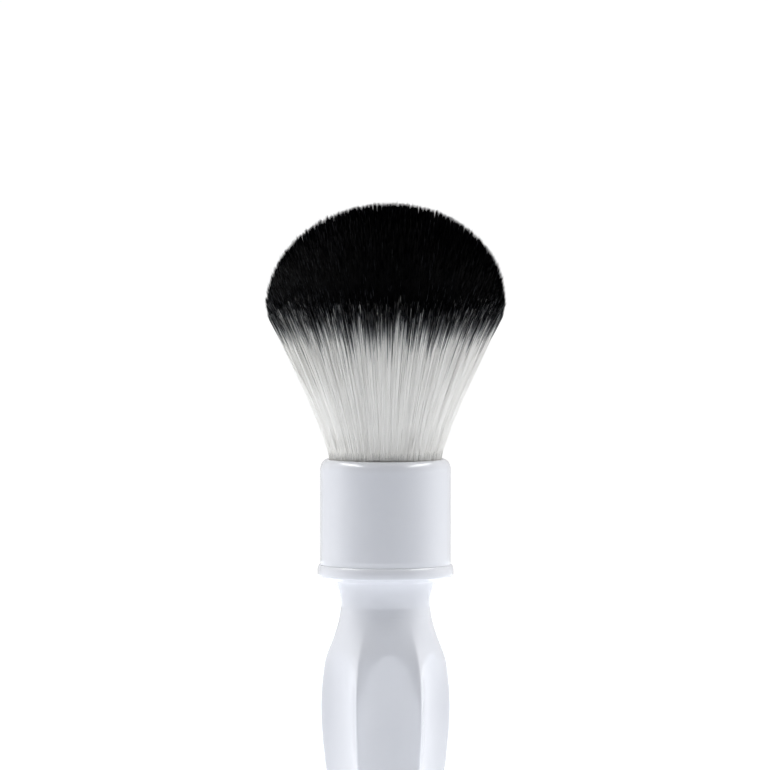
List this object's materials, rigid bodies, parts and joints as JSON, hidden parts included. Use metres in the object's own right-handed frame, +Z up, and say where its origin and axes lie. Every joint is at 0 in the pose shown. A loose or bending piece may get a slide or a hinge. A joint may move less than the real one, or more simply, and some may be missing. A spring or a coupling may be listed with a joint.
{
  "type": "shaving brush",
  "caption": "Free-standing shaving brush with a fan of two-tone bristles in a glossy white collar on a waisted, fluted grip.",
  "frame": {"origin": "centre of the underside of the foot, on the surface the brush stands on", "axes": "+Z up along the brush from the foot to the bristle tips, -Y towards the front"},
  "size_m": [0.0476, 0.0476, 0.1334],
  "materials": {
    "bristle": "fine straight synthetic fibres, off-white at the root and black at the tip",
    "thread": "matt waxed thread",
    "resin": "cast resin",
    "cup_plastic": "moulded, satin",
    "adhesive": "set adhesive",
    "collar_plastic": "polished white",
    "grip_plastic": "polished white",
    "cap_plastic": "moulded, satin"
  },
  "bodies": {
    "root": {"bristle_bundle": "bristle", "root_binding": "thread", "knot_plug": "resin", "knot_cup": "cup_plastic", "socket_adhesive": "adhesive", "collar": "collar_plastic", "grip": "grip_plastic", "base_cap": "cap_plastic"}
  },
  "joints": []
}
